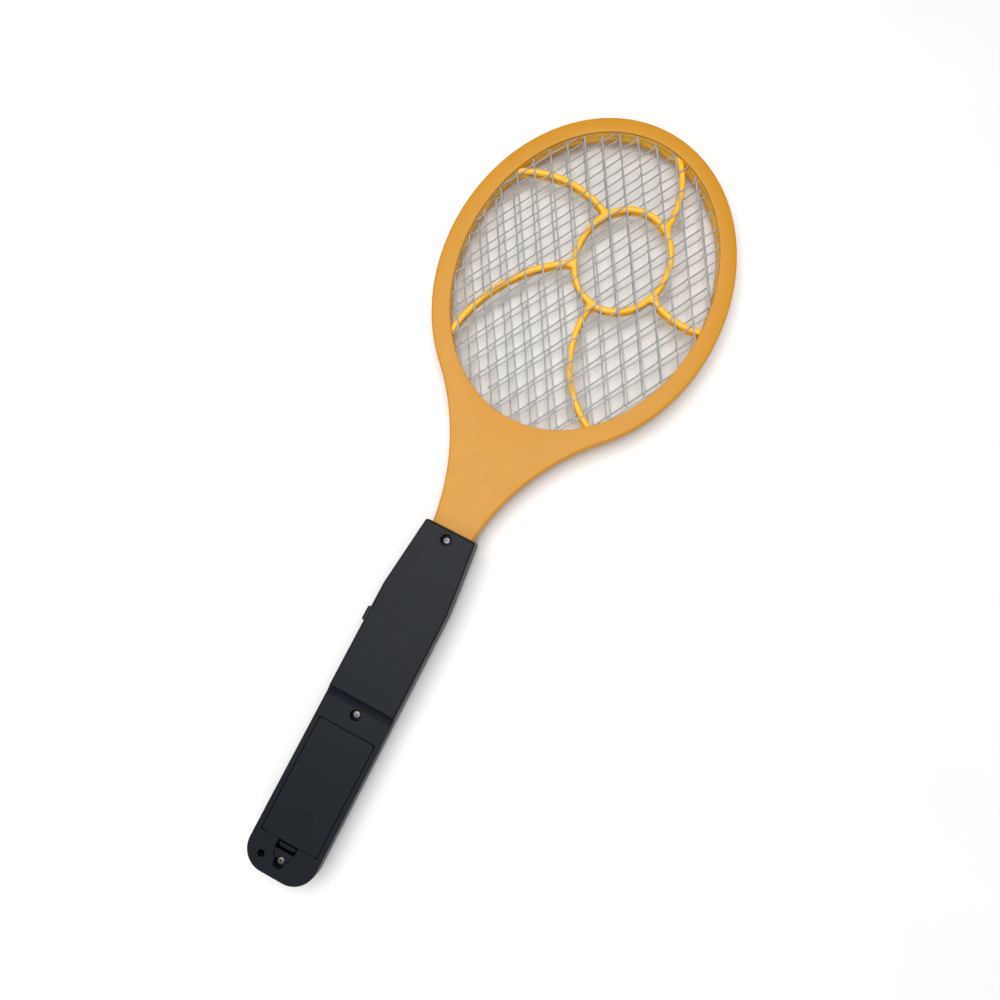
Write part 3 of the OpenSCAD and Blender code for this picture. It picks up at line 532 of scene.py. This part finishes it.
def head_frame(name, side):
    """Half of the head shell: a lofted section with drafted wall, rims, lip, grid pocket and wire channel."""
    under_lip = HEAD_HALF - LIP
    outer_r, inner_r = 1.1, 0.45
    draft = 0.35 if side > 0 else 1.2
    section = [("out", 0.3, 0.0), ("out", 0.05, 0.25)]
    section += [("out", draft + outer_r * (1 - math.cos(a)), HEAD_HALF - outer_r * (1 - math.sin(a)))
                for a in quarter(5)]
    section += [("in", inner_r * (1 - math.sin(a)), HEAD_HALF - inner_r * (1 - math.cos(a)))
                for a in quarter(4)]
    section += [("in", 0, under_lip + 0.1), ("in", 0.1, under_lip), ("in", POCKET, under_lip),
                ("in", POCKET, 0), ("in", RIB, 0), ("in", RIB, under_lip),
                ("out", HEAD_WALL + 0.3, under_lip), ("out", HEAD_WALL, 0)]
    rings = []
    for kind, offset, height in section:
        outline = head_outline(offset, TONGUE_Y + offset) if kind == "out" else opening_outline(offset)
        rings.append([(x, y, SPLIT_Z + side * height) for x, y in outline])
    obj = add_object(name, *loft(rings, loop=True))
    shade(obj)

    def level(h):
        """Height at a distance from the split, on this half's own side."""
        return SPLIT_Z + side * h

    def hole(radius, end, x, y, sides=48):
        """Round cutter from beyond the split to the given height."""
        start = level(-1)
        profile = [(AXIS_R, start), (radius, start), (radius, end), (AXIS_R, end)]
        return revolve(profile, (x, y, 0), sides=sides)

    boss_r, clearance_r = 5.8, 4.5
    boss_start, boss_end = level(0.02), level(HEAD_HALF - 0.3)
    boss = [(AXIS_R, boss_start), (boss_r, boss_start), (boss_r, boss_end), (AXIS_R, boss_end)]
    added = [revolve(boss, (0, NECK_SCREW_Y, 0))]
    from_rib, pin_r, post_r = 1.7, 0.9, 1.5
    spots = [((OPEN_W / 2 + RIB + from_rib) * math.cos(math.radians(t)),
              OPEN_Y + (OPEN_LEN / 2 + RIB + from_rib) * math.sin(math.radians(t))) for t in PIN_ANGLES]
    # The front half's posts carry pins that cross the split into holes in the back half's posts
    reach = 0.02 if side > 0 else -2.6
    for x, y in spots:
        post = [(AXIS_R, level(reach)), (pin_r, level(reach)), (pin_r, level(0.0)), (post_r, level(0.02)),
                (post_r, level(under_lip + 0.3)), (AXIS_R, level(under_lip + 0.3))]
        added.append(revolve(post, (x, y, 0), sides=20))
    boolean(obj, added, "UNION")
    bottom = OPEN_Y - OPEN_LEN / 2
    way_half = 9
    past_rib = sorted((level(-1), level(under_lip - 0.05)))
    past_end = sorted((level(-1), level(under_lip - 0.3)))
    removed = [
        hole(clearance_r, level(HEAD_HALF + 1), 0, NECK_SCREW_Y),
        box(-way_half, way_half, bottom - RIB - 1, bottom - 0.3, *past_rib),
        box(-way_half, way_half, TONGUE_Y - 1, TONGUE_Y + 4, *past_end),
    ]
    if side > 0:
        removed += [hole(pin_r + 0.1, level(2.9), x, y, 20) for x, y in spots]
    boolean(obj, removed, "DIFFERENCE")
    return obj


for name, side in (("head_back_frame", 1), ("head_front_frame", -1)):
    piece(head_frame(name + "_moulding", side), MATERIALS["orange_plastic"], [name],
          sharp_deg=32)


# ---------- spacers ----------

def arm_path(start, end, sag):
    """Points on the arc between two places that bulges to the right of the way between them."""
    steps = 24
    p, q = Vector(start), Vector(end)
    chord = (q - p).length
    r = chord * chord / (8 * sag) + sag / 2
    right = Vector(((q - p).y, -(q - p).x)) / chord
    centre = (p + q) / 2 + right * (sag - r)
    first = math.atan2(p.y - centre.y, p.x - centre.x)
    turn = (math.atan2(q.y - centre.y, q.x - centre.x) - first + 3 * math.pi) % (2 * math.pi) - math.pi
    angles = [first + turn * i / steps for i in range(steps + 1)]
    return [(centre.x + r * math.cos(angle), centre.y + r * math.sin(angle)) for angle in angles]


def web(path, z):
    """Small gusset between an arm's foot and the ring: a flat wedge that widens towards the ring."""
    p, q = Vector(path[0]), Vector(path[2])
    along = (q - p).normalized()
    across = Vector((-along.y, along.x))
    foot_half, tip_half, half_thick = 3.6, 1.0, 1.0
    foot = p - along * 0.6
    tip = p + along * 4.6
    corners = [foot + across * foot_half, foot - across * foot_half,
               tip - across * tip_half, tip + across * tip_half]
    return loft([[(c.x, c.y, z + h) for c in corners] for h in (-half_thick, half_thick)], cap=True)


def ellipse(a, b, x, y, z, count):
    """Points of a level ellipse with the given half axes and centre."""
    return [(x + a * math.cos(2 * math.pi * i / count), y + b * math.sin(2 * math.pi * i / count), z)
            for i in range(count)]


def spacer(name, side):
    """Ring and five curved arms as one smooth moulding, joined to a hoop that the grids are pressed into."""
    z = SPLIT_Z + side * (GRID_Z + GRID_T / 2) / 2
    past_opening = 2
    a, b = OPEN_W / 2 + past_opening, OPEN_LEN / 2 + past_opening
    parts = [tube(ellipse(RING_A, RING_B, RING_X, RING_Y, z, 96), BAR_R, 16, closed=True)]
    for start, end, sag in ARMS:
        path = arm_path(start, end, sag)
        inside = [(x, y) for x, y in path if (x / a) ** 2 + ((y - OPEN_Y) / b) ** 2 < 1]
        parts.append(tube([(x, y, z) for x, y in inside], BAR_R, 16))
        parts.append(web(path, z))
    obj = add_object(name, *join_parts(parts))
    shade(obj)
    remesh = obj.modifiers.new("one", "REMESH")
    remesh.mode = "VOXEL"
    remesh.voxel_size = 0.34 * MM
    remesh.use_smooth_shade = True
    relax = obj.modifiers.new("relax", "SMOOTH")
    relax.factor = 0.5
    relax.iterations = 4
    apply_modifiers(obj)
    low, high, round_r = 0.02, HEAD_HALF - LIP - 0.02, 0.25
    inner, outer = 0.12, POCKET - 0.3
    section = [(inner + round_r, low), (inner, low + round_r), (inner, high - round_r),
               (inner + round_r, high), (outer, high), (outer, low)]
    hoop = loft([ellipse(OPEN_W / 2 + grow, OPEN_LEN / 2 + grow, 0, OPEN_Y, SPLIT_Z + side * height, 240)
                 for grow, height in section], loop=True)
    boolean(obj, [hoop], "UNION", "MANIFOLD")
    return obj


for name, side in (("back_spacer", 1), ("front_spacer", -1)):
    piece(spacer(name + "_moulding", side), MATERIALS["yellow_plastic"], [name],
          sharp_deg=60)


# ---------- grids ----------

def strand_path(number, outer_bend, crossing, left_side, right_side):
    """Centreline of one slit strand: right and left in turn, touching its neighbours at every bend.

    A rounded bend falls short of its corner, so the corners are moved across the strand to make up for it.
    """
    inner_bend, inner_shift, shift_per_bend = 0.6, 0.3, 0.24
    across = (right_side - left_side).normalized()
    corners = []
    reach = int(OPEN_LEN / left_side.length)
    first = int(-number / 2) - reach
    for i in range(first, first + 2 * reach):
        inner = crossing + left_side * i + right_side * (i + number)
        corners.append((inner + across * inner_shift, inner_bend))
        outer_shift = shift_per_bend * outer_bend - inner_shift
        corners.append((inner + right_side + across * outer_shift, outer_bend))
    return rounded(corners)


def rounded(corners):
    """Polyline through (point, cut) corners, each one replaced by a short curve between its two cuts."""
    steps = 4
    result = []
    for (before, _), (corner, cut), (after, _) in zip(corners, corners[1:], corners[2:]):
        first = corner + (before - corner).normalized() * cut
        last = corner + (after - corner).normalized() * cut
        for i in range(steps + 1):
            t = i / steps
            result.append(first * (1 - t) ** 2 + corner * 2 * t * (1 - t) + last * t * t)
    return result


def grid(name, key):
    """Expanded sheet cut to the oval: strands joined side by side at their bends."""
    height, tail_x, outer_bend, crossing, left_side, right_side = GRIDS[key]
    crossing, left_side, right_side = Vector(crossing), Vector(left_side), Vector(right_side)
    z = SPLIT_Z + height + GRID_T / 2
    a, b = OPEN_W / 2 + POCKET - 0.5, OPEN_LEN / 2 + POCKET - 0.5
    count = int((OPEN_W / 2 + abs(crossing.x)) / right_side.x) + 2
    parts = []
    for number in range(-count, count):
        run = []
        for p in strand_path(number, outer_bend, crossing, left_side, right_side) + [None]:
            if p is not None and (p.x / a) ** 2 + ((p.y - OPEN_Y) / b) ** 2 < 1:
                run.append(p)
                continue
            if len(run) > 3:
                parts.append(strand([(q.x, q.y) for q in run], z))
            run = []
    tail_y = OPEN_Y - OPEN_LEN / 2 - POCKET
    half_w, half_t, below, above = 2, 0.22, 8.6, 2.2
    parts.append(box(tail_x - half_w, tail_x + half_w, tail_y - below, tail_y + above,
                     z - half_t, z + half_t))
    return add_object(name, *join_parts(parts))


def strand(path, z):
    """Flat wire with its edges rounded, slimmer where it runs to the right."""
    rings = []
    count = len(path)
    slim_share, full_share = 0.8, 1.04
    w, h = STRAND_W / 2, GRID_T / 2 - 0.04
    shape = ((w, -0.12), (w * 0.7, h), (-w * 0.7, h), (-w, 0.12), (-w * 0.7, -h), (w * 0.7, -h))
    for i, (x, y) in enumerate(path):
        before, after = path[max(i - 1, 0)], path[min(i + 1, count - 1)]
        along = Vector((after[0] - before[0], after[1] - before[1])).normalized()
        across = Vector((along.y, -along.x))
        share = slim_share if along.x > 0.2 else full_share
        rings.append([(x + across.x * u * share, y + across.y * u * share, z + v) for u, v in shape])
    return loft(rings, cap=True)


for key in GRIDS:
    piece(grid(key + "_sheet", key), MATERIALS["grid_metal"], [key], sharp_deg=50)


# ---------- screws ----------

def thread(y, base):
    """Shaft under a head: rings whose radius rises where the helix passes, tapered at the tip."""
    pitch, sides, step = 1.0, 20, 0.125
    core_r, tooth_h, tooth_half, plain_len, tip_len = 0.92, 0.28, 0.28, 1.5, 1.6
    rows = int(SCREW_LEN / step)
    rings = []
    for i in range(rows + 1):
        z = base + 0.02 - i * step
        tip = min(1.0, 0.15 + (rows - i) * step / tip_len)
        ring = []
        for j in range(sides):
            phase = ((z / pitch) - j / sides) % 1.0
            tooth = max(0.0, 1 - abs(phase - 0.5) / tooth_half) if i * step > plain_len else 0.0
            radius = (core_r + tooth_h * tooth) * tip
            angle = 2 * math.pi * j / sides
            ring.append((radius * math.cos(angle), y + radius * math.sin(angle), z))
        rings.append(ring)
    return loft(rings, cap=True)


def screw(y, head_top, turn):
    """Pan-head screw with a tapered cross recess and a helical thread."""
    base = head_top - SCREW_HEAD_H
    r, h = SCREW_HEAD_R, SCREW_HEAD_H
    profile = [(AXIS_R, base - 0.01), (r * 0.92, base), (r, base + 0.12), (r, base + h * 0.45)]
    profile += [(r * (0.62 + 0.38 * math.cos(a)), base + h * (0.45 + 0.5 * math.sin(a)))
                for a in quarter(6)[1:]]
    profile += [(r * 0.3, base + h * 0.985), (AXIS_R, base + h)]
    head = add_object("screw", *revolve(profile, (0, y, 0)))
    shade(head)
    for a in (turn, turn + 90):
        c, s = math.cos(math.radians(a)), math.sin(math.radians(a))
        rings = []
        for half_len, half_w, z in ((0.35, 0.16, base + 0.25), (1.25, 0.31, head_top + 0.4)):
            corners = ((-half_len, -half_w), (half_len, -half_w), (half_len, half_w), (-half_len, half_w))
            rings.append([(u * c - v * s, y + u * s + v * c, z) for u, v in corners])
        boolean(head, [loft(rings, cap=True)], "DIFFERENCE")
    shaft = add_object("shaft", *thread(y, base))
    shade(shaft)
    return join_objects("screw", [head, shaft])


def join_objects(name, objects):
    """Several objects as one, in the order given."""
    bm = bmesh.new()
    for obj in objects:
        bm.from_mesh(obj.data)
    mesh = bpy.data.meshes.new(name)
    bm.to_mesh(mesh)
    bm.free()
    for obj in objects:
        bpy.data.objects.remove(obj)
    joined = bpy.data.objects.new(name, mesh)
    bpy.context.scene.collection.objects.link(joined)
    return joined


screws = [screw(y, top, turn) for y, top, turn in SCREWS]
piece(join_objects("case_screws", screws), MATERIALS["screw_steel"], ["handle_screws"],
      sharp_deg=30)


# ---------- batteries ----------

CELL_R, CELL_TALL, CELL_X, CELL_Z = 7.1, 50.5, 7.35, 12.2


def battery(name, x, y_minus, way):
    """AA cell: flat minus end, crimped jacket edges, stepped plus end with its nub."""
    minus_end = [(AXIS_R, 0.0), (5.0, 0.0), (5.2, 0.25), (6.4, 0.25), (6.75, 0.05), (7.0, 0.2),
                 (CELL_R, 0.55)]
    shoulder = [(CELL_R, 47.9), (7.02, 48.3), (6.75, 48.55), (6.35, 48.4), (6.1, 48.15), (5.6, 48.2)]
    nub = [(3.3, 48.9), (2.75, 49.0), (2.65, 49.2), (2.65, 50.2), (2.5, 50.42), (2.2, CELL_TALL),
           (AXIS_R, CELL_TALL)]
    profile = minus_end + shoulder + nub
    return add_object(name, *revolve([(r, way * h) for r, h in profile], (x, y_minus, CELL_Z), "y", 64))


low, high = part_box("battery_cell_left"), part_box("battery_cell_right")
left_minus = (low[0].y - cad_low.y) / MM
right_minus = (high[1].y - cad_low.y) / MM
piece(battery("battery_left", -CELL_X, left_minus, 1), cell_jacket("cell jacket left", False),
      ["battery_cell_left"], sharp_deg=30)
piece(battery("battery_right", CELL_X, right_minus, -1), cell_jacket("cell jacket right", True),
      ["battery_cell_right"], sharp_deg=30)


# ---------- button spring ----------

spring_low, spring_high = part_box("button_spring")
spring_start, spring_end = spring_low.x / MM, spring_high.x / MM
spring_y = ((spring_low.y + spring_high.y) / 2 - cad_low.y) / MM
turns, coil_r, wire_r = 5.5, 1.9, 0.25
steps = int(turns * 24)
# Share of the wire that is wound flat at each end
flat_share = 0.12
coil = []
for i in range(steps + 1):
    share = i / steps
    angle = 2 * math.pi * turns * share
    pitch_share = min(1.0, max(0.0, (share - flat_share) / (1 - 2 * flat_share)))
    x = spring_start + wire_r + (spring_end - spring_start - 2 * wire_r) * pitch_share
    coil.append((x, spring_y + coil_r * math.cos(angle), SPLIT_Z + coil_r * math.sin(angle)))
spring = add_object("return_spring", *tube(coil, wire_r, 10))
piece(spring, MATERIALS["spring_steel"], ["button_spring"], sharp_deg=60)
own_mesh(spring)


# ---------- CAD nodes that stay ----------

REPLACED = {"head_back_frame", "head_front_frame", "back_spacer", "front_spacer", "back_grid", "centre_grid",
            "front_grid", "handle_screws", "battery_cell_left", "battery_cell_right", "button_spring"}
# Widths to which edges are rounded; the nodes that are not named here stay as they are
ROUNDING = {"back_shell": 0.3, "front_shell": 0.3, "battery_door": 0.1, "push_button": 0.4,
            "switch_body": 0.25, "circuit_board": 0.08, "transformer_core": 0.3, "transformer_bobbin": 0.12,
            "transformer_winding": 0.3, "storage_capacitor": 0.8, "doubler_capacitors": 0.5,
            "switching_transistor": 0.2}
# The door's ridges are fine, so only its square edges are rounded
ROUNDED_FROM_DEG = {"battery_door": 80}
for name in sorted(set(nodes) - REPLACED):
    dress_cad(name, MATERIALS[slot_of[name]], ROUNDING.get(name, 0.0), ROUNDED_FROM_DEG.get(name, 35))


# ---------- floor, light and camera ----------

def make_floor():
    """Large pale floor with faint clouding, which takes the soft shadow."""
    bpy.ops.mesh.primitive_plane_add(size=6)
    floor = bpy.context.object
    floor.name = "floor"
    material, tree, shader = start_material("pale floor")
    tone = ramp(tree, noise(tree, 60, 4), ((0.3, (0.87, 0.865, 0.86)), (0.7, (0.90, 0.895, 0.89))))
    tree.links.new(tone, shader.inputs["Base Color"])
    shader.inputs["Roughness"].default_value = 0.7
    floor.data.materials.append(material)


def area_light(name, place_m, size, watts):
    """White round light that faces the origin."""
    light = bpy.data.lights.new(name, "AREA")
    light.shape = "DISK"
    light.size = size
    light.energy = watts
    obj = bpy.data.objects.new(name, light)
    obj.location = place_m
    obj.rotation_mode = "QUATERNION"
    obj.rotation_quaternion = (-Vector(place_m)).to_track_quat("-Z", "Y")
    bpy.context.scene.collection.objects.link(obj)


def make_world():
    """Dim, even, slightly warm surroundings."""
    world = bpy.data.worlds.new("studio")
    bpy.context.scene.world = world
    world.use_nodes = True
    background = world.node_tree.nodes["Background"]
    background.inputs["Color"].default_value = (1.0, 0.995, 0.985, 1)
    background.inputs["Strength"].default_value = 0.28


def make_camera():
    """Viewpoint above the +X side of the handle's upper end, looking down."""
    place_m = Vector((0.05551, -0.03296, 0.45958))
    tip, lean, turn = -0.1091, -0.0478, -0.4775
    to_camera = Matrix.Rotation(tip, 3, "X") @ Matrix.Rotation(lean, 3, "Y") @ Matrix.Rotation(turn, 3, "Z")
    data = bpy.data.cameras.new("camera")
    data.sensor_width = 36
    data.lens = 30.6
    data.clip_start = 0.01
    camera = bpy.data.objects.new("camera", data)
    camera.matrix_world = Matrix.Translation(place_m) @ to_camera.transposed().to_4x4()
    bpy.context.scene.collection.objects.link(camera)
    bpy.context.scene.camera = camera


make_floor()
make_world()
area_light("softbox", (-0.13, 0.10, 1.2), 1.0, 15.0)
area_light("front fill", (0.25, -0.8, 0.8), 0.5, 2.0)
make_camera()
bpy.context.scene.view_settings.view_transform = "Standard"
bpy.context.scene.view_settings.look = "None"
